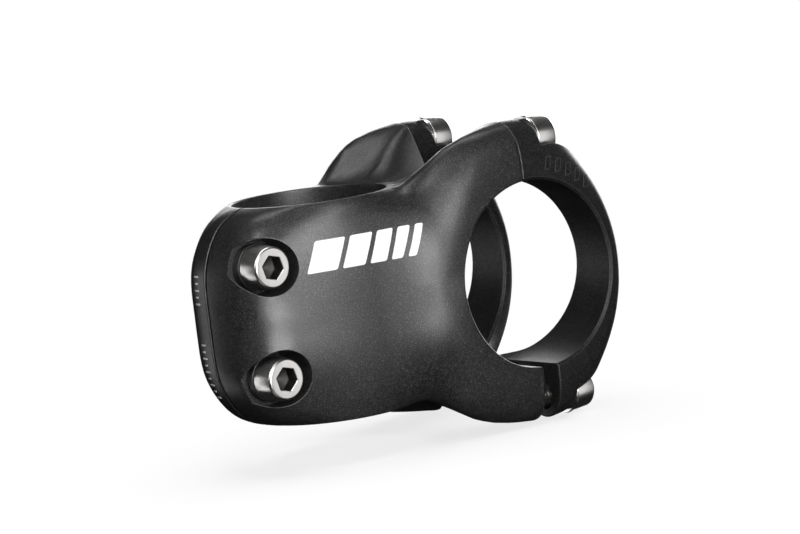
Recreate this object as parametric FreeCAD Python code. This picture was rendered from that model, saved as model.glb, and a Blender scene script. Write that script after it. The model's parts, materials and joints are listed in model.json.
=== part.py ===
import FreeCAD, Part
import math
import os

# Short mountain-bike handlebar stem: a Y-shaped moulded body that clamps round the steerer, and two
# separate faceplates that clamp the handlebar against the body's four arms.
# Millimetres. +X points forward to the handlebar, +Y to the rider's left, +Z up the steerer.
# The origin is on the steerer axis, halfway up the steerer clamp.

# --- Clamps -------------------------------------------------------------------------------------
STEERER_R = 14.3            # 1 1/8 inch steerer tube
BAR_R = 17.5                # 35 mm handlebar clamp
REACH = 35.0                # steerer axis to handlebar axis
HALF_STACK = 20.0           # the steerer clamp is 40 tall
ARM_Y = 15.65               # centre of one faceplate, and of its bolts
SLIT = 0.6                  # saw cut at the back of the steerer clamp
SLIT_FRONT_X = -13.0        # the cut ends inside the steerer bore

# --- Seams between the body and the faceplates --------------------------------------------------
ARM_END_X = 33.6
UPPER_PLATE_X = 33.65       # the upper seam closes fully when tightened
LOWER_PLATE_X = 36.9        # the lower seam keeps the clamping gap
UPPER_SEAT_X = 39.1         # where the washers sit on the faceplate
LOWER_SEAT_X = 41.4
STEP_R = 5.0                # scoop round each bolt head
STEP_TOP_Z = 23.4           # above this the faceplate's step is cut right across

# --- Edges --------------------------------------------------------------------------------------
LIP_R = 0.15                # mouths of the two pockets at the back
BAR_EDGE_R = 0.5
STEERER_EDGE_R = 0.3
UPPER_END_R = 0.3           # the upper arms' ends, at the closed seam
LOWER_END_R = 0.5
SLIT_EDGE_R = 0.2
PLATE_CHAMFER = 0.45
PLATE_SEAM_R = 0.3
CLOSE = 0.02                # how near an edge is to a surface that it lies on

# --- Bolts, washers and threaded sleeves --------------------------------------------------------
UPPER_BOLT_Z = 24.7
LOWER_BOLT_Z = -23.9
STEERER_BOLT_X = -18.7
STEERER_BOLT_Z = 10.1
POCKET_FLOOR_Y = -6.2
POCKET_R = 5.15
SHANK_R = 2.45
HOLE_R = 2.7
HEAD_BASE_R = 4.1
HEAD_FACE_R = 3.75
HEAD_HEIGHT = 4.7
HEAD_CHAMFER = 0.35
HEX_ACROSS_FLATS = 4.0
HEX_DEPTH = 2.6
HEX_LEAD_IN = 0.25
WASHER_R = 4.3
BAR_WASHER_HEIGHT = 0.6
STEERER_WASHER_HEIGHT = 2.1
SLEEVE_R = 2.9
SLEEVE_BORE_R = 2.5
ARM_SLEEVE_LENGTH = 4.8
EAR_SLEEVE_LENGTH = 5.5
EAR_SLEEVE_Y = 1.5
PILOT_EXTRA = 0.6           # free depth past a bolt's tip
UPPER_SHANK = 12.0
LOWER_SHANK = 14.0
STEERER_SHANK = 15.0

# --- Skin of the body ---------------------------------------------------------------------------
# The skin is one smooth surface over a cage of control points. Seen from above, the cage is the
# outline below, from the back, round the left side, to the crotch between the arms. The third
# number is the cage's crown: how high the skin climbs there, low on the hub and high on the arms.
LAND_R = 15.1               # thin flat land round the steerer bore
HUB_CROWN = 15.0
BODY_OUTLINE = [
    (-25.05, 0.0, 15.2),
    (-25.05, 4.6, 15.2),
    (-22.6, 8.7, 14.7),
    (-18.8, 11.9, 14.8),
    (-13.5, 13.9, 14.0),
    (-6.5, 15.9, 13.3),
    (0.5, 17.3, 13.3),
    (6.7, 18.0, 13.3),
    (11.4, 20.1, 14.0),
    (16.0, 21.4, 14.4),
    (20.7, 21.4, 22.5),
    (27.0, 21.2, 29.1),
    (35.5, 21.6, 31.1),
    (46.0, 20.4, 32.3),
    (49.0, 17.5, 32.8),
    (43.0, 14.2, 29.7),
    (38.0, 6.5, 18.5),
    (25.0, 3.8, 16.5),
    (21.4, 0.0, 15.0),
]
# The right rear corner is fuller than the left one, to leave a lip round the bolt heads' pockets.
RIGHT_CORNER = {
    1: (-25.05, -5.0, 15.2),
    2: (-23.3, -9.4, 16.0),
    3: (-19.6, -12.5, 15.8),
}
LOWER_CROWN = 0.95          # the lower arms reach down a little less than the upper ones reach up
# Rows of the cage from the land down to the middle: how far out towards the outline, how high on
# the hub, and how much of the extra crown the row takes.
BODY_ROWS = [
    (0.0, HALF_STACK, 0.0),
    (0.11, 19.9, -0.06),
    (0.47, 18.3, 0.58),
    (0.75, 14.9, 0.84),
    (1.0, 9.6, 1.03),
    (1.0, 2.5, 0.24),
]

# --- Skin of a faceplate ------------------------------------------------------------------------
# Closed section loops, as (distance outboard of the ring's centre, radius from the bar axis):
# a thin crowned band in front of the bar, the domed bosses where the bolts sit, and a foot below
# the bar where the lower boss reaches inboard to the other faceplate's foot.
BAND_LOOP = [
    (5.6, 15.0), (5.6, 17.0), (5.6, 19.0), (5.3, 20.1), (3.2, 20.9), (0.4, 21.2),
    (-2.4, 20.9), (-4.4, 20.1), (-4.7, 19.0), (-4.7, 17.0), (-4.7, 15.0), (0.4, 14.0),
]
UPPER_BOSS_LOOP = [
    (5.6, 14.0), (5.6, 17.8), (5.6, 20.9), (5.1, 25.1), (2.7, 28.4), (-0.9, 29.0),
    (-3.6, 27.2), (-5.1, 24.0), (-5.8, 20.9), (-5.6, 17.6), (-5.6, 14.0), (0.0, 13.0),
]
LOWER_BOSS_LOOP = [
    (5.6, 14.0), (5.6, 17.8), (5.6, 20.9), (5.1, 24.9), (2.7, 28.0), (-0.9, 28.5),
    (-4.2, 26.6), (-7.6, 23.6), (-10.4, 20.9), (-10.4, 17.6), (-10.4, 14.0), (0.0, 13.0),
]
LOWER_FOOT_LOOP = [
    (5.6, 14.0), (5.6, 17.8), (5.6, 20.9), (5.1, 24.9), (2.7, 28.0), (-0.9, 28.5),
    (-4.2, 26.6), (-9.4, 23.0), (-15.0, 20.6), (-15.0, 17.6), (-15.0, 14.0), (0.0, 13.0),
]
# The sections from top to bottom: angle above the bar's centre, the share of boss in the section,
# and which boss.
PLATE_SECTIONS = [
    (104, 1.0, UPPER_BOSS_LOOP),
    (97, 1.0, UPPER_BOSS_LOOP),
    (90, 1.0, UPPER_BOSS_LOOP),
    (83, 1.0, UPPER_BOSS_LOOP),
    (76, 1.0, UPPER_BOSS_LOOP),
    (69, 0.9, UPPER_BOSS_LOOP),
    (61, 0.62, UPPER_BOSS_LOOP),
    (52, 0.42, UPPER_BOSS_LOOP),
    (42, 0.29, UPPER_BOSS_LOOP),
    (30, 0.16, UPPER_BOSS_LOOP),
    (15, 0.05, UPPER_BOSS_LOOP),
    (0, 0.0, LOWER_BOSS_LOOP),
    (-15, 0.06, LOWER_BOSS_LOOP),
    (-30, 0.18, LOWER_BOSS_LOOP),
    (-42, 0.32, LOWER_BOSS_LOOP),
    (-52, 0.48, LOWER_BOSS_LOOP),
    (-61, 0.68, LOWER_BOSS_LOOP),
    (-69, 0.93, LOWER_BOSS_LOOP),
    (-76, 1.0, LOWER_FOOT_LOOP),
    (-83, 1.0, LOWER_FOOT_LOOP),
    (-90, 1.0, LOWER_FOOT_LOOP),
    (-97, 1.0, LOWER_FOOT_LOOP),
    (-104, 1.0, LOWER_FOOT_LOOP),
]

BIG = 200.0                 # larger than the part: half size of cutting blocks
SKIN_DEGREE = 3


def vector(x, y, z):
    return FreeCAD.Vector(x, y, z)


X_AXIS = vector(1, 0, 0)
Y_AXIS = vector(0, 1, 0)
Z_AXIS = vector(0, 0, 1)


def smooth_solid(loops):
    """Solid under a cubic skin. Each loop is a closed ring of control points; the end loops are flat."""
    loop_count = len(loops)
    point_count = len(loops[0])
    end_repeat = SKIN_DEGREE + 1
    across_repeats = [end_repeat] + [1] * (loop_count - end_repeat) + [end_repeat]
    across_knots = list(range(len(across_repeats)))
    round_repeats = [1] * (point_count + 1)
    round_knots = list(range(point_count + 1))
    surface = Part.BSplineSurface()
    surface.buildFromPolesMultsKnots(
        loops, across_repeats, round_repeats, across_knots, round_knots,
        False, True, SKIN_DEGREE, SKIN_DEGREE)
    skin = surface.toShape()
    caps = [Part.Face(Part.Wire([edge])) for edge in skin.Edges if edge.isClosed()]
    shell = Part.Compound([skin] + caps)
    shell.sewShape()
    return Part.Solid(shell)


def cylinder(radius, start, direction, length):
    return Part.makeCylinder(radius, length, start, direction)


def block(low, high):
    size = high - low
    return Part.makeBox(size.x, size.y, size.z, low)


def only_solid(shape):
    return shape.Solids[0]


def bar_space():
    return cylinder(BAR_R, vector(REACH, -BIG, 0), Y_AXIS, 2 * BIG)


def is_curved(edge):
    return edge.Curve.TypeId == "Part::GeomBSplineCurve"


def on_cylinder(edge, radius, start, direction):
    for point in edge.discretize(9):
        offset = point - start
        if abs((offset - direction * offset.dot(direction)).Length - radius) > CLOSE:
            return False
    return True


def on_plane(edge, direction, place):
    return all(abs(point.dot(direction) - place) < CLOSE for point in edge.discretize(9))


def on_bar_space(edge):
    return is_curved(edge) and on_cylinder(edge, BAR_R, vector(REACH, 0, 0), Y_AXIS)


def rounded(shape, radius, is_picked):
    edges = [edge for edge in shape.Edges if is_picked(edge)]
    return only_solid(shape.makeFillet(radius, edges))


# --- Stem body ----------------------------------------------------------------------------------

def body_columns():
    """The outline's points all the way round: the left half, then its mirror image with its own corner."""
    right_half = [(x, -y, crown) for x, y, crown in BODY_OUTLINE]
    for place, point in RIGHT_CORNER.items():
        right_half[place] = point
    return BODY_OUTLINE + right_half[-2:0:-1]


def body_loop(out, hub_height, crown_share, side):
    loop = []
    climb = crown_share * (1.0 if side > 0 else LOWER_CROWN)
    for x, y, crown in body_columns():
        reach = math.hypot(x, y)
        radius = LAND_R + out * (reach - LAND_R)
        height = hub_height + climb * (crown - HUB_CROWN)
        loop.append(vector(x * radius / reach, y * radius / reach, side * height))
    return loop


def body_skin():
    upper = [body_loop(*row, side=1) for row in BODY_ROWS]
    lower = [body_loop(*row, side=-1) for row in reversed(BODY_ROWS)]
    return smooth_solid(upper + lower)


def arm_places():
    """The four bar bolts: name, y, z, where the faceplate's seat is, and the shank length."""
    for side_name, side in (("right", -1), ("left", 1)):
        yield "upper_" + side_name, side * ARM_Y, UPPER_BOLT_Z, UPPER_SEAT_X, UPPER_SHANK
        yield "lower_" + side_name, side * ARM_Y, LOWER_BOLT_Z, LOWER_SEAT_X, LOWER_SHANK


def arm_socket(y, z, seat_x, shank):
    mouth = vector(ARM_END_X, y, z)
    sleeve_room = cylinder(SLEEVE_R, mouth, -X_AXIS, ARM_SLEEVE_LENGTH)
    depth = ARM_END_X - (seat_x + BAR_WASHER_HEIGHT - shank - PILOT_EXTRA)
    return sleeve_room.fuse(cylinder(SLEEVE_BORE_R, mouth, -X_AXIS, depth))


def steerer_bolt_cut(level):
    """Pocket for the head, clearance hole to the slit, and socket for the sleeve in the far ear."""
    centre_x = STEERER_BOLT_X
    centre_z = level * STEERER_BOLT_Z
    pocket = cylinder(POCKET_R, vector(centre_x, POCKET_FLOOR_Y, centre_z), -Y_AXIS, BIG)
    hole = cylinder(HOLE_R, vector(centre_x, POCKET_FLOOR_Y, centre_z), Y_AXIS, -POCKET_FLOOR_Y)
    socket_depth = EAR_SLEEVE_Y + EAR_SLEEVE_LENGTH
    socket = cylinder(SLEEVE_R, vector(centre_x, 0, centre_z), Y_AXIS, socket_depth)
    return pocket.fuse([hole, socket])


def is_pocket_lip(edge):
    axes = [vector(STEERER_BOLT_X, 0, level * STEERER_BOLT_Z) for level in (1, -1)]
    return is_curved(edge) and any(on_cylinder(edge, POCKET_R, axis, Y_AXIS) for axis in axes)


def is_arm_end(edge):
    return is_curved(edge) and on_plane(edge, X_AXIS, ARM_END_X)


def is_upper_end(edge):
    return is_arm_end(edge) and edge.BoundBox.ZMin > 0


def is_lower_end(edge):
    return is_arm_end(edge) and edge.BoundBox.ZMax < 0


def is_steerer_rim(edge):
    at_top_or_bottom = on_plane(edge, Z_AXIS, HALF_STACK) or on_plane(edge, Z_AXIS, -HALF_STACK)
    return at_top_or_bottom and on_cylinder(edge, STEERER_R, vector(0, 0, 0), Z_AXIS)


def is_slit_lip(edge):
    return is_curved(edge) and any(on_plane(edge, Y_AXIS, side * SLIT / 2) for side in (1, -1))


def stem_body():
    cuts = [
        cylinder(STEERER_R, vector(0, 0, -BIG), Z_AXIS, 2 * BIG),
        bar_space(),
        block(vector(ARM_END_X, -BIG, -BIG), vector(BIG, BIG, BIG)),
        block(vector(-BIG, -SLIT / 2, -BIG), vector(SLIT_FRONT_X, SLIT / 2, BIG)),
    ]
    cuts += [steerer_bolt_cut(level) for level in (1, -1)]
    cuts += [arm_socket(*place) for _, *place in arm_places()]
    body = body_skin()
    for cut in cuts:
        body = body.cut(cut)
    body = rounded(body, BAR_EDGE_R, on_bar_space)
    body = rounded(body, UPPER_END_R, is_upper_end)
    body = rounded(body, LOWER_END_R, is_lower_end)
    body = rounded(body, STEERER_EDGE_R, is_steerer_rim)
    body = rounded(body, SLIT_EDGE_R, is_slit_lip)
    return rounded(body, LIP_R, is_pocket_lip)


# --- Faceplates ---------------------------------------------------------------------------------

def plate_loop(angle, boss_share, boss_loop, side):
    turn = math.radians(angle)
    loop = []
    for (band_out, band_r), (boss_out, boss_r) in zip(BAND_LOOP, boss_loop):
        out = band_out + boss_share * (boss_out - band_out)
        radius = band_r + boss_share * (boss_r - band_r)
        across = side * (ARM_Y + out)
        loop.append(vector(REACH + radius * math.cos(turn), across, radius * math.sin(turn)))
    return loop


def seat_step(y, z, seat_x):
    """Room for a bolt's head and washer in front of the seat, open to the outside."""
    scoop = cylinder(STEP_R, vector(seat_x, y, z), X_AXIS, BIG)
    level = math.copysign(1, z)
    near = min(level * STEP_TOP_Z, level * BIG)
    far = max(level * STEP_TOP_Z, level * BIG)
    return scoop.fuse(block(vector(seat_x, -BIG, near), vector(BIG, BIG, far)))


def bolt_hole(y, z):
    return cylinder(HOLE_R, vector(0, y, z), X_AXIS, BIG)


def is_plate_seam(edge):
    return is_curved(edge) and any(on_plane(edge, X_AXIS, x) for x in (UPPER_PLATE_X, LOWER_PLATE_X))


def faceplate_blank(side):
    blank = smooth_solid([plate_loop(*section, side) for section in PLATE_SECTIONS])
    blank = blank.cut(bar_space())
    blank = blank.cut(block(vector(-BIG, -BIG, 0), vector(UPPER_PLATE_X, BIG, BIG)))
    blank = blank.cut(block(vector(-BIG, -BIG, -BIG), vector(LOWER_PLATE_X, BIG, 0)))
    bore_edges = [edge for edge in blank.Edges if on_bar_space(edge)]
    blank = only_solid(blank.makeChamfer(PLATE_CHAMFER, bore_edges))
    return rounded(blank, PLATE_SEAM_R, is_plate_seam)


def faceplate(side):
    plate = faceplate_blank(side)
    for _, y, z, seat_x, _ in arm_places():
        if y * side > 0:
            plate = plate.cut(seat_step(y, z, seat_x)).cut(bolt_hole(y, z))
    return only_solid(plate)


# --- Fasteners ----------------------------------------------------------------------------------
# Each is made along +X with its seat at the origin, then placed.

def hex_socket():
    """Six-sided hole with a short conical lead-in, open towards +X at the head's face."""
    corner_r = HEX_ACROSS_FLATS / math.sqrt(3)
    corners = []
    for step in range(7):
        turn = math.radians(60 * step)
        corners.append(vector(HEAD_HEIGHT - HEX_DEPTH, corner_r * math.cos(turn), corner_r * math.sin(turn)))
    hole = Part.Face(Part.makePolygon(corners)).extrude(X_AXIS * (HEX_DEPTH + 1))
    lead_in = Part.makeCone(
        corner_r - HEX_LEAD_IN, corner_r + HEX_LEAD_IN, 2 * HEX_LEAD_IN,
        vector(HEAD_HEIGHT - 2 * HEX_LEAD_IN, 0, 0), X_AXIS)
    return hole.fuse(lead_in)


def revolved(profile):
    """Solid of revolution about the X axis; the profile is a closed list of (x, radius)."""
    points = [vector(x, 0, radius) for x, radius in profile + profile[:1]]
    return only_solid(Part.Face(Part.makePolygon(points)).revolve(vector(0, 0, 0), X_AXIS, 360))


def bolt(shank_length):
    tip_chamfer = 0.5
    profile = [
        (-shank_length, 0),
        (-shank_length, SHANK_R - tip_chamfer),
        (-shank_length + tip_chamfer, SHANK_R),
        (0, SHANK_R),
        (0, HEAD_BASE_R - HEAD_CHAMFER),
        (HEAD_CHAMFER, HEAD_BASE_R),
        (HEAD_HEIGHT - HEAD_CHAMFER, HEAD_FACE_R),
        (HEAD_HEIGHT, HEAD_FACE_R - HEAD_CHAMFER),
        (HEAD_HEIGHT, 0),
    ]
    return only_solid(revolved(profile).cut(hex_socket()))


def washer(height):
    edge = 0.15
    profile = [
        (0, HOLE_R),
        (0, WASHER_R),
        (height - edge, WASHER_R),
        (height, WASHER_R - edge),
        (height, HOLE_R),
    ]
    return revolved(profile)


def threaded_sleeve(length):
    """Bonded metal sleeve; its mouth is at the origin and it reaches back along -X."""
    mouth_chamfer = 0.3
    profile = [
        (-length, SLEEVE_BORE_R),
        (-length, SLEEVE_R),
        (0, SLEEVE_R),
        (0, SLEEVE_BORE_R + mouth_chamfer),
        (-mouth_chamfer, SLEEVE_BORE_R),
    ]
    return revolved(profile)


def facing_forward(shape, place):
    placed = shape.copy()
    placed.translate(place)
    return placed


def facing_right(shape, place):
    """Turns a fastener so that its head faces -Y, then moves it to its place."""
    placed = shape.copy()
    placed.rotate(vector(0, 0, 0), Z_AXIS, -90)
    placed.translate(place)
    return placed


def bar_clamp_fasteners():
    pieces = {}
    for name, y, z, seat_x, shank in arm_places():
        pieces[name + "_bar_bolt"] = facing_forward(bolt(shank), vector(seat_x + BAR_WASHER_HEIGHT, y, z))
        pieces[name + "_bar_washer"] = facing_forward(washer(BAR_WASHER_HEIGHT), vector(seat_x, y, z))
        sleeve = threaded_sleeve(ARM_SLEEVE_LENGTH)
        pieces[name + "_arm_sleeve"] = facing_forward(sleeve, vector(ARM_END_X, y, z))
    return pieces


def steerer_clamp_fasteners():
    pieces = {}
    for name, level in (("upper", 1), ("lower", -1)):
        x = STEERER_BOLT_X
        z = level * STEERER_BOLT_Z
        seat = vector(x, POCKET_FLOOR_Y, z)
        pieces[name + "_steerer_washer"] = facing_right(washer(STEERER_WASHER_HEIGHT), seat)
        head_seat = seat - Y_AXIS * STEERER_WASHER_HEIGHT
        pieces[name + "_steerer_bolt"] = facing_right(bolt(STEERER_SHANK), head_seat)
        sleeve = threaded_sleeve(EAR_SLEEVE_LENGTH)
        pieces[name + "_ear_sleeve"] = facing_right(sleeve, vector(x, EAR_SLEEVE_Y, z))
    return pieces


def stem():
    pieces = {
        "stem_body": stem_body(),
        "right_faceplate": faceplate(-1),
        "left_faceplate": faceplate(1),
    }
    pieces.update(bar_clamp_fasteners())
    pieces.update(steerer_clamp_fasteners())
    return pieces


os.makedirs("parts", exist_ok=True)
for piece_name, piece in stem().items():
    piece.exportStep("parts/" + piece_name + ".step")
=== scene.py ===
import json
import math

import bpy
import numpy as np
from mathutils import Matrix, Vector
from mathutils.bvhtree import BVHTree

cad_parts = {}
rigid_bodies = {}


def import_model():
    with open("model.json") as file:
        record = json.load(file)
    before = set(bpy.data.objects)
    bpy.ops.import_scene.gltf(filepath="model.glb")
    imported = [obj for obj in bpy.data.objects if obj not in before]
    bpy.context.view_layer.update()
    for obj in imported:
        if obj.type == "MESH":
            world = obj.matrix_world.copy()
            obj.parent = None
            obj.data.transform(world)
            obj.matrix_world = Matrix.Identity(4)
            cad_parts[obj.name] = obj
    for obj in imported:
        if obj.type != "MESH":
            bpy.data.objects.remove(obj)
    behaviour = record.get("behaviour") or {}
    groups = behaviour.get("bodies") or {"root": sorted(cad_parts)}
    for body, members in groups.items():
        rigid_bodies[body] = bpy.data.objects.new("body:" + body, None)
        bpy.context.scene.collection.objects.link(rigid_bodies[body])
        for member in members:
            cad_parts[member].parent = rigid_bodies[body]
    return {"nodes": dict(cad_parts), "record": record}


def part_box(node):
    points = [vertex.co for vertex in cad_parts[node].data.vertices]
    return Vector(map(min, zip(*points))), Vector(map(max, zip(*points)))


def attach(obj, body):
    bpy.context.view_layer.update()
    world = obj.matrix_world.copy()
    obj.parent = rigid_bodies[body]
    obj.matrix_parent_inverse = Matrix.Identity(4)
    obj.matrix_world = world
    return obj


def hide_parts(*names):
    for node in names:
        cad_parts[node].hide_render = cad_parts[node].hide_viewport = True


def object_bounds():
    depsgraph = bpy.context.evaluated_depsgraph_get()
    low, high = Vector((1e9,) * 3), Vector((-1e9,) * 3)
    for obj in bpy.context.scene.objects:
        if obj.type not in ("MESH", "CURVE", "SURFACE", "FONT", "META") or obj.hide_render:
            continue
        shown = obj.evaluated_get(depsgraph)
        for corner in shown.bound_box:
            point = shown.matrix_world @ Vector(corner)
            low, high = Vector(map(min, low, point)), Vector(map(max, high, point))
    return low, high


# Looks for a handlebar stem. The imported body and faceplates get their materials, and the bolts, washers,
# threaded sleeves, printed marks and raised dashes are built here. Metres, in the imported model's frame.
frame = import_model()
cad_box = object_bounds()

MM = 0.001
X_AXIS = Vector((1, 0, 0))
Y_AXIS = Vector((0, 1, 0))
Z_AXIS = Vector((0, 0, 1))

# --- Driving sizes, from the frame --------------------------------------------------------------
MOUNTS = {mount["name"]: mount for mount in frame["record"]["mounts"]}
REACH = MOUNTS["handlebar_clamp"]["pos_m"][0]
SIDES = {"right": -1, "left": 1}    # the sign of Y on each side
LEVELS = ("upper", "lower")

# --- Fastener details ---------------------------------------------------------------------------
SEGMENTS = 72               # round each turned piece
SHARP_DEGREES = 32          # edges bent more than this are drawn sharp

PITCH = 0.8 * MM
RINGS_PER_PITCH = 8
THREAD_DEPTH = 0.38 * MM
V_HEIGHT = 1.25             # of the sharp V, in thread depths, before its crest is cut flat at 1
V_SLOPE = 2.9               # of its two sides, in thread depths per pitch

SHANK_R = 2.45 * MM
PLAIN_SHANK = 1.6 * MM      # smooth length under the head
RUN_OUT = 0.3 * MM          # slope from the thread's root up to the smooth length
TIP_CHAMFER = 0.5 * MM

HEAD_TAPER = 0.925          # radius of the head's face over that of its base
RIM_R = 0.5 * MM            # rounding of the head's rim
RIM_STEPS = 8
SEAT_R = 0.3 * MM           # rounding of the head's base
SEAT_GAP = 0.02 * MM        # keeps a turning head just clear of its washer

HEX_FLAT_R = 2.0 * MM       # centre to flat: 4 mm key
HEX_DEPTH = 2.6 * MM
HEX_LEAD = 0.12 * MM        # bevel where the six walls meet the face
DRILL_R = 0.9 * HEX_FLAT_R  # radius of the socket's drilled bottom
DRILL_DEPTH = 0.35          # depth of the drilled cone, in drill radii
DRILL_TIP = 0.1             # radius of its blunt tip, in drill radii

SLEEVE_BORE_R = 2.5 * MM
SLEEVE_THREAD = 0.22 * MM
SLEEVE_LEAD = 0.3 * MM      # countersink at the sleeve's mouth
WASHER_BORE_R = 2.7 * MM
WASHER_EDGE_R = 0.15 * MM

# --- Mark details -------------------------------------------------------------------------------
PRINT_LIFT = 0.06 * MM      # height of the ink over the body's skin
DASH_LIFT = 0.09 * MM       # height of the raised dashes over a faceplate
MARK_COLUMNS = 20           # grid cells along and across each mark
MARK_ROWS = 10
OUTSIDE = 0.05              # a start well outside the part, to look for its skin from


# --- Mesh helpers -------------------------------------------------------------------------------

def mesh_object(name, vertices, faces):
    """Smooth-shaded mesh, linked into the scene."""
    mesh = bpy.data.meshes.new(name)
    mesh.from_pydata([tuple(v) for v in vertices], [], [tuple(f) for f in faces])
    mesh.validate()
    mesh.shade_smooth()
    mesh.set_sharp_from_angle(angle=math.radians(SHARP_DEGREES))
    obj = bpy.data.objects.new(name, mesh)
    bpy.context.scene.collection.objects.link(obj)
    return obj


def arc(along, radius, size, start_degrees, end_degrees, steps=5):
    """Points of (along, radius) on a rounded corner about the given centre."""
    points = []
    for step in range(steps + 1):
        turn = math.radians(start_degrees + (end_degrees - start_degrees) * step / steps)
        points.append((along + size * math.cos(turn), radius + size * math.sin(turn)))
    return points


def ring_of(along, radius):
    """A plain round ring: one place and one radius for all segments."""
    return np.full(SEGMENTS, along), np.full(SEGMENTS, radius)


def turns():
    """The angle of each segment about the axis."""
    return np.arange(SEGMENTS) * 2 * math.pi / SEGMENTS


def lathe(name, rings, origin, axis, closed=False):
    """Turned mesh about an axis. Each ring is (along, radius), one number for each segment.
    A closed one joins its last ring to its first; an open one ends in two discs."""
    side = axis.orthogonal().normalized()
    up = axis.cross(side)
    vertices = []
    for along, radius in rings:
        for turn, a, r in zip(turns(), along, radius):
            vertices.append(origin + axis * a + side * (r * math.cos(turn)) + up * (r * math.sin(turn)))
    faces = []
    ring_count = len(rings)
    for ring in range(ring_count if closed else ring_count - 1):
        following = (ring + 1) % ring_count
        for segment in range(SEGMENTS):
            after = (segment + 1) % SEGMENTS
            faces.append((ring * SEGMENTS + segment, following * SEGMENTS + segment,
                          following * SEGMENTS + after, ring * SEGMENTS + after))
    if not closed:
        for ring, flip in ((0, False), (ring_count - 1, True)):
            centre = len(vertices)
            vertices.append(origin + axis * float(np.mean(rings[ring][0])))
            for segment in range(SEGMENTS):
                after = (segment + 1) % SEGMENTS
                pair = (after, segment) if flip else (segment, after)
                faces.append((centre, ring * SEGMENTS + pair[0], ring * SEGMENTS + pair[1]))
    return mesh_object(name, vertices, [face[::-1] for face in faces])


def thread_wave(along):
    """A V thread with a flat crest, 0 at the root and 1 at the crest, once round per pitch."""
    phase = (along / PITCH - turns() / (2 * math.pi)) % 1.0
    return np.clip(V_HEIGHT - np.abs(phase - 0.5) * V_SLOPE, 0, 1)


def thread_rings(start, end, root, depth, fade_start, fade_end):
    """Rings of a thread from start to end, which fades in and out over the given lengths."""
    count = int(abs(end - start) / PITCH * RINGS_PER_PITCH)
    rings = []
    for along in np.linspace(start, end, count):
        fade = min(1.0, abs(along - start) / fade_start, abs(end - along) / fade_end)
        rings.append((np.full(SEGMENTS, along), root + depth * fade * thread_wave(along)))
    return rings


# --- Fasteners ----------------------------------------------------------------------------------

def along_axis(node, axis):
    """The lowest and highest places of a CAD node along an axis."""
    low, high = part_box(node)
    return sorted((low.dot(axis), high.dot(axis)))


def axis_start(node, axis):
    """A point on the node's axis, at zero distance along it."""
    low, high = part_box(node)
    centre = (low + high) / 2
    return centre - axis * centre.dot(axis)


def widest_radius(node, axis):
    """Half of the node's larger size square to its axis."""
    low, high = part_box(node)
    size = high - low
    across = [other for other in (X_AXIS, Y_AXIS, Z_AXIS) if other.dot(axis) == 0]
    return max(abs(size.dot(other)) for other in across) / 2


def hex_radius():
    """Distance from the centre to the six-sided socket's wall, at each segment."""
    within = turns() % (math.pi / 3)
    return HEX_FLAT_R / np.cos(within - math.pi / 6)


def socket_rings(face):
    """Bevelled mouth, six walls and drilled bottom, going in from the head's face."""
    walls = hex_radius()
    floor = face - HEX_DEPTH
    return [
        (np.full(SEGMENTS, face), walls + HEX_LEAD),
        (np.full(SEGMENTS, face - HEX_LEAD), walls),
        (np.full(SEGMENTS, floor), walls),
        ring_of(floor, DRILL_R),
        ring_of(floor - DRILL_R * DRILL_DEPTH, DRILL_R * DRILL_TIP),
    ]


def shank_rings(tip):
    """Chamfered tip, thread and smooth length, up to the underside of the head at 0."""
    root = SHANK_R - THREAD_DEPTH
    thread = thread_rings(tip + TIP_CHAMFER, -PLAIN_SHANK, root, THREAD_DEPTH,
                          fade_start=PITCH, fade_end=1.5 * PITCH)
    return [ring_of(tip, root - TIP_CHAMFER), *thread,
            ring_of(-PLAIN_SHANK + RUN_OUT, SHANK_R), ring_of(0, SHANK_R)]


def head_rings(height, base_r, face_r):
    """Side of the head, narrower towards its face, with both of its edges rounded."""
    profile = arc(SEAT_R, base_r - SEAT_R, SEAT_R, 180, 90)
    taper = math.degrees(math.atan2(base_r - face_r, height))
    profile += arc(height - RIM_R, face_r - RIM_R, RIM_R, 90 - taper, 0, RIM_STEPS)
    return [ring_of(along, radius) for along, radius in profile]


def bolt(node, washer_node, axis):
    """Socket-head bolt on its washer, with its thread and socket painted dark as shade. It is a body of its
    own.
    """
    tip, face = along_axis(node, axis)
    seat = along_axis(washer_node, axis)[1] + SEAT_GAP
    base_r = widest_radius(node, axis)
    height = face - seat
    rings = shank_rings(tip - seat) + head_rings(height, base_r, base_r * HEAD_TAPER) + socket_rings(height)
    origin = axis_start(node, axis) + axis * seat
    piece = lathe(node + "_turned", rings, origin, axis)
    place(piece, node, node, "titanium_bolt")
    # Painted shade: the shank, down in the dark gap, and the socket take a dark material of their own.
    piece.data.materials.append(MATERIALS["painted_shade_metal"])
    for polygon in piece.data.polygons:
        along = (polygon.center - origin).dot(axis)
        from_axis = (polygon.center - origin - axis * along).length
        on_shank = along < 0
        in_socket = from_axis < SHANK_R and along < height - HEX_LEAD
        polygon.material_index = int(on_shank or in_socket)


def washer(node, axis, slot_name):
    """Flat ring with a rounded outer edge and a bevelled bore. It is a body of its own."""
    back, front = along_axis(node, axis)
    thickness = front - back
    outer = widest_radius(node, axis)
    profile = [(0, WASHER_BORE_R), (0, outer - WASHER_EDGE_R)]
    profile += arc(thickness - WASHER_EDGE_R, outer - WASHER_EDGE_R, WASHER_EDGE_R, 90, 0)
    profile += [(thickness, WASHER_BORE_R + WASHER_EDGE_R), (thickness - WASHER_EDGE_R, WASHER_BORE_R)]
    rings = [ring_of(along, radius) for along, radius in profile]
    piece = lathe(node + "_turned", rings, axis_start(node, axis) + axis * back, axis, closed=True)
    place(piece, node, node, slot_name)


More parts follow.
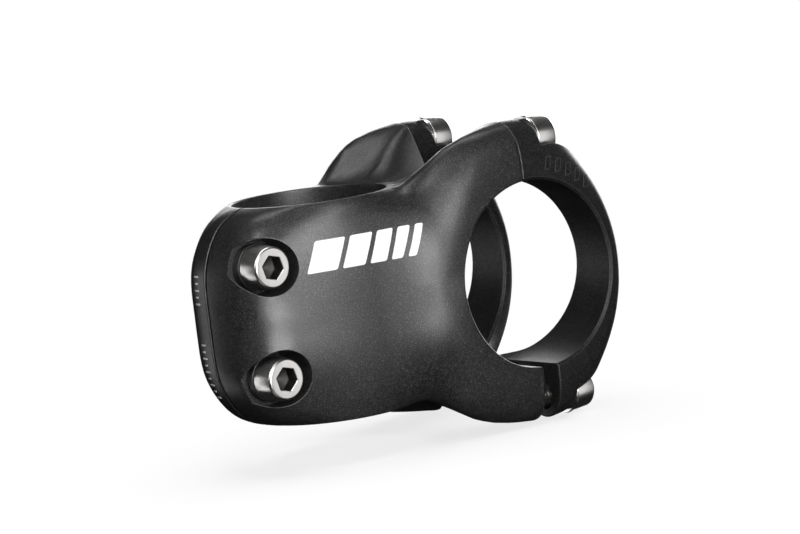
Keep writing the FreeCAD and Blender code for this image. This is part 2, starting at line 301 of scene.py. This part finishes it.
def sleeve(node, axis):
    """Plain tube with a thread cut inside it."""
    back, mouth = along_axis(node, axis)
    outer = widest_radius(node, axis)
    thread = thread_rings(mouth - SLEEVE_LEAD, back, SLEEVE_BORE_R, SLEEVE_THREAD,
                          fade_start=PITCH / 2, fade_end=PITCH / 2)
    countersink = ring_of(mouth, SLEEVE_BORE_R + SLEEVE_LEAD)
    rings = [ring_of(back, outer), ring_of(mouth, outer), countersink, *thread]
    piece = lathe(node + "_turned", rings, axis_start(node, axis), axis, closed=True)
    place(piece, node, "stem", "sleeve_alloy")


def place(piece, node, body, slot_name):
    """Rides the piece on its body in place of a CAD node, and gives it the material named by slot_name."""
    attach(piece, body)
    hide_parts(node)
    piece.data.materials.append(MATERIALS[slot_name])


def build_fasteners():
    """Each axis points out of the bolt's head: forward at the bar, to the rider's right at the steerer."""
    for level in LEVELS:
        for side in SIDES:
            corner = level + "_" + side
            bolt(corner + "_bar_bolt", corner + "_bar_washer", X_AXIS)
            washer(corner + "_bar_washer", X_AXIS, "steel_washer")
            sleeve(corner + "_arm_sleeve", X_AXIS)
        bolt(level + "_steerer_bolt", level + "_steerer_washer", -Y_AXIS)
        washer(level + "_steerer_washer", -Y_AXIS, "black_washer")
        sleeve(level + "_ear_sleeve", -Y_AXIS)


# --- Printed and raised marks -------------------------------------------------------------------

def surface_of(node):
    """A CAD node's surface, ready to be searched along a line."""
    mesh = frame["nodes"][node].data
    points = [vertex.co.copy() for vertex in mesh.vertices]
    return BVHTree.FromPolygons(points, [tuple(face.vertices) for face in mesh.polygons])


def rounded_bar(length, height, slant, corner):
    """Grid of flat points for a slanted bar with round corners, centred on zero.
    The columns crowd towards its two ends, where the corners are."""
    grid = []
    for column in range(MARK_COLUMNS + 1):
        u = (0.5 - 0.5 * math.cos(math.pi * column / MARK_COLUMNS)) * length
        from_end = min(u, length - u)
        inset = corner - math.sqrt(max(0.0, corner ** 2 - max(0.0, corner - from_end) ** 2))
        half = height / 2 - inset
        line = []
        for row in range(MARK_ROWS + 1):
            v = half * (2 * row / MARK_ROWS - 1)
            line.append((u - length / 2 + slant * v, v))
        grid.append(line)
    return grid


def bar_on_skin(surface, grid, centre, across, up, lift):
    """Lays a grid of flat points on a surface and gives it a thin edge, as vertices and faces."""
    outward = across.cross(up).normalized()
    tops = []
    bottoms = []
    for line in grid:
        for u, v in line:
            start = centre + across * u + up * v + outward * OUTSIDE
            hit, normal, _, _ = surface.ray_cast(start, -outward)
            if normal.dot(outward) < 0:
                normal = -normal
            tops.append(hit + normal * lift)
            bottoms.append(hit - normal * lift)
    rows = len(grid[0])
    columns = len(grid)
    count = len(tops)
    faces = []
    for column in range(columns - 1):
        for row in range(rows - 1):
            corner = column * rows + row
            quad = (corner, corner + rows, corner + rows + 1, corner + 1)
            faces.append(quad)
            faces.append(tuple(count + index for index in reversed(quad)))
    border = list(range(rows))
    border += [column * rows + rows - 1 for column in range(1, columns)]
    border += [(columns - 1) * rows + row for row in range(rows - 2, -1, -1)]
    border += [column * rows for column in range(columns - 2, 0, -1)]
    for index, here in enumerate(border):
        after = border[(index + 1) % len(border)]
        faces.append((here, after, count + after, count + here))
    return tops + bottoms, faces


def marks(name, surface, bars, across, up, lift, body, material):
    """One piece made of several bars: each is (centre, length, height, slant, corner)."""
    vertices = []
    faces = []
    for centre, length, height, slant, corner in bars:
        grid = rounded_bar(length, height, slant, corner)
        points, quads = bar_on_skin(surface, grid, centre, across, up, lift)
        faces += [tuple(len(vertices) + index for index in quad) for quad in quads]
        vertices += points
    piece = mesh_object(name, vertices, faces)
    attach(piece, body)
    piece.data.materials.append(material)


def flank_bars():
    """Five slanted bars in a row, each shorter than the last."""
    middle_z = 10.6 * MM
    height = 5.6 * MM
    gap = 1.0 * MM
    slant = 0.45
    corner = 0.35 * MM
    start = -11.1 * MM
    bars = []
    for length_mm in (5.7, 4.4, 3.3, 2.3, 1.5):
        length = length_mm * MM
        bars.append((Vector((start + length / 2, 0, middle_z)), length, height, slant, corner))
        start += length + gap
    return bars


def rear_ticks():
    """Two groups of ticks, wide and narrow in turn, one above the other on the strip beside the slit."""
    y = 3.1 * MM
    spacing_mm = 1.25
    thickness = 0.32 * MM
    corner = 0.1 * MM
    wide = 1.5 * MM
    narrow = 0.9 * MM
    bars = []
    for first_mm, count in ((9.0, 5), (-3.5, 9)):
        for step in range(count):
            z = (first_mm - step * spacing_mm) * MM
            width = wide if step % 2 == 0 else narrow
            bars.append((Vector((0, y, z)), width, thickness, 0, corner))
    return bars


def plate_dashes():
    """A row of raised dashes round the outer side of a faceplate's upper boss."""
    from_bar_mm = 20.6
    length = 1.3 * MM
    height = 2.4 * MM
    slant = 0.3
    corner = 0.3 * MM
    bar_centre = Vector((REACH, 0, 0))
    bars = []
    for degrees in (76, 69, 62, 55, 48):
        turn = math.radians(degrees)
        centre = bar_centre + Vector((math.cos(turn), 0, math.sin(turn))) * from_bar_mm * MM
        bars.append((centre, length, height, slant, corner))
    return bars


def build_marks():
    """Each mark is laid out to its right and upwards, as seen from outside the part."""
    body_skin = surface_of("stem_body")
    white = MATERIALS["white_print"]
    marks("flank_mark", body_skin, flank_bars(), X_AXIS, Z_AXIS, PRINT_LIFT, "stem", white)
    marks("rear_tick_marks", body_skin, rear_ticks(), -Y_AXIS, Z_AXIS, PRINT_LIFT, "stem", white)
    for side, sign in SIDES.items():
        node = side + "_faceplate"
        # The dashes use the plate material whose edges are painted lightest, partly as worn metal and
        # partly as a painted highlight.
        marks(side + "_raised_dashes", surface_of(node), plate_dashes(), X_AXIS * -sign, Z_AXIS,
              DASH_LIFT, node, MATERIALS["worn_and_highlit_plate"])


# --- Materials ----------------------------------------------------------------------------------

BLACK = (0.006, 0.006, 0.0065)
BODY_SPECK = (0.09, 0.09, 0.09)
# The faceplates' specks; their edges are also painted towards this colour, partly as worn metal and partly
# as a painted highlight.
PLATE_SPECK = (0.12, 0.12, 0.12)
TITANIUM = (0.50, 0.49, 0.48)
# Painted shade: dark colour for the bolts' threads and sockets, where little light reaches.
PAINTED_SHADE_GREY = (0.07, 0.068, 0.065)
STEEL = (0.62, 0.62, 0.61)
ALLOY = (0.55, 0.55, 0.57)
BLACK_OXIDE = (0.02, 0.02, 0.02)
WORN_OXIDE = (0.16, 0.16, 0.16)
INK = (0.93, 0.93, 0.93)
THIN_INK = (0.6, 0.6, 0.6)

DULL_SHARE = 0.92               # brightness of bare metal's dull patches
LINE_STRETCH = (9.0, 0.6, 0.6)  # turning lines: fine along X, drawn out along Y and Z
FLAT_DOT = 0.995                # the edge mask, for worn edges and painted highlight, starts at this dot product of the rounded and true normals
EDGE_FULL_DOT = 0.85                 # and is full at this one
BEVEL_SAMPLES = 6


class Nodes:
    """A material's node tree, with short calls for the few nodes used here."""

    def __init__(self, name):
        self.material = bpy.data.materials.new(name)
        self.material.use_nodes = True
        self.tree = self.material.node_tree
        self.shader = self.tree.nodes["Principled BSDF"]

    def add(self, kind, **settings):
        node = self.tree.nodes.new(kind)
        for key, value in settings.items():
            setattr(node, key, value)
        return node

    def join(self, output, target):
        self.tree.links.new(output, target)

    def set(self, **values):
        """Fixed values of the shader's inputs, with _ for a space in the input's name."""
        for key, value in values.items():
            self.shader.inputs[key.replace("_", " ")].default_value = value

    def drive(self, **outputs):
        """Node outputs into the shader's inputs, with _ for a space in the input's name."""
        for key, output in outputs.items():
            self.join(output, self.shader.inputs[key.replace("_", " ")])

    def millimetres(self, stretch=(1, 1, 1)):
        """Coordinates in the piece's own space, in millimetres."""
        coordinates = self.add("ShaderNodeTexCoord")
        scale = self.add("ShaderNodeMapping")
        scale.inputs["Scale"].default_value = [s / MM for s in stretch]
        self.join(coordinates.outputs["Object"], scale.inputs["Vector"])
        return scale.outputs["Vector"]

    def noise(self, where, per_mm, detail=2.0, roughness=0.5):
        node = self.add("ShaderNodeTexNoise")
        node.inputs["Scale"].default_value = per_mm
        node.inputs["Detail"].default_value = detail
        node.inputs["Roughness"].default_value = roughness
        self.join(where, node.inputs["Vector"])
        return node.outputs["Fac"]

    def remap(self, value, low, high, to_low, to_high):
        node = self.add("ShaderNodeMapRange")
        for key, number in zip(("From Min", "From Max", "To Min", "To Max"), (low, high, to_low, to_high)):
            node.inputs[key].default_value = number
        self.join(value, node.inputs["Value"])
        return node.outputs["Result"]

    def mask(self, value, none, full):
        """0 where the value is at none, and 1 where it is at full."""
        return self.remap(value, none, full, 0.0, 1.0)

    def mix(self, factor, first, second):
        node = self.add("ShaderNodeMix", data_type="RGBA")
        self.join(factor, node.inputs["Factor"])
        node.inputs["A"].default_value = (*first, 1)
        node.inputs["B"].default_value = (*second, 1)
        return node.outputs["Result"]

    def add_up(self, first, second):
        node = self.add("ShaderNodeMath", operation="ADD")
        self.join(first, node.inputs[0])
        self.join(second, node.inputs[1])
        return node.outputs[0]

    def times(self, value, share):
        node = self.add("ShaderNodeMath", operation="MULTIPLY")
        self.join(value, node.inputs[0])
        node.inputs[1].default_value = share
        return node.outputs[0]

    def bump(self, height, depth_mm, strength=1.0):
        node = self.add("ShaderNodeBump")
        node.inputs["Strength"].default_value = strength
        node.inputs["Distance"].default_value = depth_mm * MM
        self.join(height, node.inputs["Height"])
        self.drive(Normal=node.outputs["Normal"])

    # Edge mask: worn edges on the washers; on the faceplates, worn edges and a painted highlight.
    def edge_wear_and_highlight(self, size_mm):
        """1 on edges and 0 on flats: how far a rounded normal turns from the true one."""
        bevel = self.add("ShaderNodeBevel", samples=BEVEL_SAMPLES)
        bevel.inputs["Radius"].default_value = size_mm * MM
        geometry = self.add("ShaderNodeNewGeometry")
        dot = self.add("ShaderNodeVectorMath", operation="DOT_PRODUCT")
        self.join(bevel.outputs["Normal"], dot.inputs[0])
        self.join(geometry.outputs["Normal"], dot.inputs[1])
        return self.mask(dot.outputs["Value"], FLAT_DOT, EDGE_FULL_DOT)


def carbon_body():
    """Satin black moulded composite: fine speckled grain, slightly uneven sheen."""
    nodes = Nodes("carbon_body")
    where = nodes.millimetres()
    grain = nodes.noise(where, per_mm=3.2, detail=3.0, roughness=0.65)
    specks = nodes.noise(where, per_mm=6.5, detail=1.0)
    cloud = nodes.noise(where, per_mm=0.09)
    uneven = nodes.remap(cloud, 0.3, 0.7, to_low=-0.03, to_high=0.03)
    rough = nodes.add_up(nodes.remap(grain, 0.3, 0.7, to_low=0.33, to_high=0.45), uneven)
    nodes.drive(Base_Color=nodes.mix(nodes.mask(specks, 0.52, 0.68), BLACK, BODY_SPECK), Roughness=rough)
    nodes.set(Specular_IOR_Level=0.8)
    nodes.bump(grain, depth_mm=0.02, strength=0.6)
    return nodes.material


def anodised_plate(name, wear_and_highlight):
    """Blasted and black anodised aluminium: sparkly, and lighter on the edges, partly as worn metal and
    partly as a painted highlight.
    """
    nodes = Nodes(name)
    where = nodes.millimetres()
    blast = nodes.noise(where, per_mm=5.0, detail=3.0, roughness=0.7)
    specks = nodes.noise(where, per_mm=9.0, detail=1.0)
    # The edges are painted lighter: partly worn metal, partly a painted highlight like the bright lines
    # along the chamfers.
    worn = nodes.times(nodes.edge_wear_and_highlight(size_mm=0.35), wear_and_highlight)
    bright = nodes.add_up(nodes.mask(specks, 0.54, 0.70), worn)
    nodes.drive(Base_Color=nodes.mix(bright, BLACK, PLATE_SPECK),
                Roughness=nodes.remap(blast, 0.3, 0.7, to_low=0.30, to_high=0.5))
    nodes.set(Metallic=0.35)
    nodes.bump(blast, depth_mm=0.035)
    return nodes.material


def turned_metal(name, colour, roughness, line_depth_mm):
    """Bare metal with fine turning lines and a few dull patches."""
    nodes = Nodes(name)
    lines = nodes.noise(nodes.millimetres(LINE_STRETCH), per_mm=1.0, roughness=0.6)
    patches = nodes.mask(nodes.noise(nodes.millimetres(), per_mm=0.25), 0.35, 0.65)
    dull = tuple(DULL_SHARE * part for part in colour)
    rough = nodes.remap(lines, 0.3, 0.7, to_low=roughness - 0.03, to_high=roughness + 0.04)
    nodes.drive(Base_Color=nodes.mix(patches, colour, dull), Roughness=rough)
    nodes.set(Metallic=1.0)
    nodes.bump(lines, line_depth_mm, strength=0.35)
    return nodes.material


def black_washer():
    """Black oxide on steel, worn to grey on the edges."""
    nodes = Nodes("black_washer")
    grain = nodes.noise(nodes.millimetres(), per_mm=5.0)
    nodes.drive(Base_Color=nodes.mix(nodes.edge_wear_and_highlight(size_mm=0.2), BLACK_OXIDE, WORN_OXIDE),
                Roughness=nodes.remap(grain, 0.3, 0.7, to_low=0.36, to_high=0.5))
    nodes.set(Metallic=0.6)
    nodes.bump(grain, depth_mm=0.01, strength=0.5)
    return nodes.material


def white_print():
    """Matt pad-printed ink with tiny thin spots."""
    nodes = Nodes("white_print")
    where = nodes.millimetres()
    patchy = nodes.noise(where, per_mm=3.5, detail=3.0, roughness=0.7)
    thin = nodes.remap(patchy, 0.62, 0.78, to_low=0.0, to_high=0.5)
    nodes.drive(Base_Color=nodes.mix(thin, INK, THIN_INK))
    nodes.set(Roughness=0.55)
    nodes.bump(nodes.noise(where, per_mm=6.0), depth_mm=0.006, strength=0.5)
    return nodes.material


MATERIALS = {
    "carbon_body": carbon_body(),
    # The edge share in each plate material sets how far its edges are painted lighter, partly as worn metal
    # and partly as a painted highlight.
    "anodised_plate": anodised_plate("anodised_plate", wear_and_highlight=0.6),
    "worn_and_highlit_plate": anodised_plate("worn_and_highlit_plate", wear_and_highlight=1.0),
    "titanium_bolt": turned_metal("titanium_bolt", TITANIUM, roughness=0.31, line_depth_mm=0.002),
    # Painted shade on the bolts' threads and sockets.
    "painted_shade_metal": turned_metal("painted_shade_metal", PAINTED_SHADE_GREY, roughness=0.42, line_depth_mm=0.004),
    "steel_washer": turned_metal("steel_washer", STEEL, roughness=0.26, line_depth_mm=0.002),
    "black_washer": black_washer(),
    "sleeve_alloy": turned_metal("sleeve_alloy", ALLOY, roughness=0.32, line_depth_mm=0.006),
    "white_print": white_print(),
}
CAD_SLOTS = {
    "stem_body": "carbon_body",
    "right_faceplate": "anodised_plate",
    "left_faceplate": "anodised_plate",
}


def dress_cad_pieces():
    """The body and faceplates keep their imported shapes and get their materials."""
    for node, slot_name in CAD_SLOTS.items():
        piece = frame["nodes"][node]
        piece.data.materials.clear()
        piece.data.materials.append(MATERIALS[slot_name])


# --- Floor, light and camera --------------------------------------------------------------------

CAMERA_AZIMUTH = -36.65         # degrees
CAMERA_ELEVATION = 7.145
CAMERA_ROLL = -6.925
CAMERA_TARGET_MM = (18.87, 0, 3.39)
CAMERA_DISTANCE_MM = 601.3
LENS_MM = 144
SENSOR_MM = 36
CLIP_START = 0.01               # metres

FLOOR_HALF = 6.0                # metres each way from the middle
FLOOR_GAP = 0.2 * MM            # under the lowest point of the part
FLOOR_GREYS = ((0.88, 0.88, 0.88), (0.9, 0.9, 0.9))

AMBIENT = 0.012                 # strength of the dim light from all round
FLOOR_FILL = 3.1                # strength of the overhead light that throws no shadow
FLOOR_SHADOW = 0.4              # strength of the one that does
OVERHEAD_DEGREES = 70           # angle that each of the two spreads over
SOFTBOX_DISTANCE = 0.7          # metres from the middle of the part

# Each softbox: direction as (towards the camera's right, up, towards the camera), width and height
# in metres, and power in watts. These light everything but the floor.
SOFTBOXES = {
    "front": ((0.35, 0.05, 0.93), (0.4, 0.4), 6.3),
    "shoulder": ((-0.3, 0.6, 0.7), (0.3, 0.2), 1.4),
    "top": ((-0.1, 0.98, -0.15), (0.5, 0.12), 0.9),
    "left_rim": ((-0.9, -0.3, -0.35), (0.15, 0.5), 0.8),
    "right_rim": ((0.6, 0.35, -0.7), (0.3, 0.4), 1.2),
    "low_rim": ((0.1, -0.8, 0.5), (0.5, 0.15), 0.3),
    "far_side": ((0.15, 0.25, -0.95), (0.6, 0.4), 3.5),
}
# These light the bare metal alone, as bright strips reflected in it.
METAL_SOFTBOXES = {
    "metal_right": ((0.97, 0.05, 0.3), (0.3, 0.6), 1.1),
    "metal_front": ((0.25, 0.2, 0.95), (0.3, 0.4), 0.3),
    "metal_left": ((-0.75, 0.35, 0.6), (0.2, 0.5), 2.6),
    "metal_top": ((-0.2, 0.97, 0.05), (0.6, 0.15), 3.0),
    "metal_far": ((0.3, 0.3, -0.9), (0.4, 0.4), 2.0),
}


def camera_axes(azimuth, elevation, roll):
    """Right, up and back vectors of a camera at the given angles, in degrees."""
    a = math.radians(azimuth)
    e = math.radians(elevation)
    back = Vector((math.sin(a) * math.cos(e), -math.cos(a) * math.cos(e), math.sin(e)))
    right = (-back).cross(Z_AXIS).normalized()
    up = right.cross(-back)
    c = math.cos(math.radians(roll))
    s = math.sin(math.radians(roll))
    return right * c + up * s, up * c - right * s, back


def add_camera():
    """Adds the camera, and gives its right, up and back directions for the lights."""
    right, up, back = camera_axes(CAMERA_AZIMUTH, CAMERA_ELEVATION, CAMERA_ROLL)
    target = Vector(CAMERA_TARGET_MM) * MM
    data = bpy.data.cameras.new("camera")
    data.sensor_width = SENSOR_MM
    data.lens = LENS_MM
    data.clip_start = CLIP_START
    camera = bpy.data.objects.new("camera", data)
    bpy.context.scene.collection.objects.link(camera)
    turn = Matrix((right, up, back)).transposed().to_4x4()
    camera.matrix_world = Matrix.Translation(target + back * CAMERA_DISTANCE_MM * MM) @ turn
    bpy.context.scene.camera = camera
    return right, up, back


def add_softbox(name, direction, size, power):
    """Rectangular soft light, aimed at the part from a direction."""
    data = bpy.data.lights.new(name, "AREA")
    data.shape = "RECTANGLE"
    data.size = size[0]
    data.size_y = size[1]
    data.energy = power
    light = bpy.data.objects.new(name, data)
    bpy.context.scene.collection.objects.link(light)
    target = (cad_box[0] + cad_box[1]) / 2
    light.location = target + direction.normalized() * SOFTBOX_DISTANCE
    light.rotation_euler = direction.to_track_quat("Z", "Y").to_euler()
    return light


def link_light(light, objects, state):
    """The light falls only on these objects (INCLUDE), or on all but them (EXCLUDE)."""
    group = bpy.data.collections.new(light.name + "_receivers")
    for obj in objects:
        group.objects.link(obj)
    light.light_linking.receiver_collection = group
    for entry in group.collection_objects:
        entry.light_linking.link_state = state


def add_floor():
    """Plain pale floor, which neither shows in the part nor throws light back on it."""
    z = cad_box[0].z - FLOOR_GAP
    corners = [(x * FLOOR_HALF, y * FLOOR_HALF, z) for x, y in ((-1, -1), (1, -1), (1, 1), (-1, 1))]
    floor = mesh_object("floor", corners, [(0, 1, 2, 3)])
    nodes = Nodes("floor")
    nodes.drive(Base_Color=nodes.mix(nodes.noise(nodes.millimetres(), per_mm=0.02), *FLOOR_GREYS))
    nodes.set(Roughness=0.9, Specular_IOR_Level=0.0)
    floor.data.materials.append(nodes.material)
    floor.visible_glossy = False
    floor.visible_diffuse = False
    return floor


def add_world():
    """White to the camera, dim grey to everything else."""
    world = bpy.data.worlds.new("studio")
    bpy.context.scene.world = world
    world.use_nodes = True
    tree = world.node_tree
    background = tree.nodes["Background"]
    seen = tree.nodes.new("ShaderNodeBackground")
    seen.inputs["Color"].default_value = (1, 1, 1, 1)
    background.inputs["Color"].default_value = (1, 1, 1, 1)
    background.inputs["Strength"].default_value = AMBIENT
    path = tree.nodes.new("ShaderNodeLightPath")
    mix = tree.nodes.new("ShaderNodeMixShader")
    tree.links.new(path.outputs["Is Camera Ray"], mix.inputs["Fac"])
    tree.links.new(background.outputs["Background"], mix.inputs[1])
    tree.links.new(seen.outputs["Background"], mix.inputs[2])
    tree.links.new(mix.outputs["Shader"], tree.nodes["World Output"].inputs["Surface"])


def add_floor_light(floor, name, strength, makes_shadow):
    """Overhead light on the floor alone; most of it throws no shadow, as on a bright sweep."""
    data = bpy.data.lights.new(name, "SUN")
    data.angle = math.radians(OVERHEAD_DEGREES)
    data.energy = strength
    data.use_shadow = makes_shadow
    light = bpy.data.objects.new(name, data)
    bpy.context.scene.collection.objects.link(light)
    link_light(light, [floor], "INCLUDE")


def add_studio():
    """Floor, world, camera and lights. The turned pieces have to be there already."""
    floor = add_floor()
    add_world()
    right, up, back = add_camera()
    metal = [obj for obj in bpy.context.scene.objects if obj.name.endswith("_turned")]
    for boxes, objects, state in ((SOFTBOXES, [floor], "EXCLUDE"), (METAL_SOFTBOXES, metal, "INCLUDE")):
        for name, (towards, size, power) in boxes.items():
            direction = right * towards[0] + up * towards[1] + back * towards[2]
            link_light(add_softbox(name, direction, size, power), objects, state)
    add_floor_light(floor, "floor_fill", FLOOR_FILL, makes_shadow=False)
    add_floor_light(floor, "floor_shadow", FLOOR_SHADOW, makes_shadow=True)
    bpy.context.scene.view_settings.view_transform = "Standard"


dress_cad_pieces()
build_fasteners()
build_marks()
add_studio()
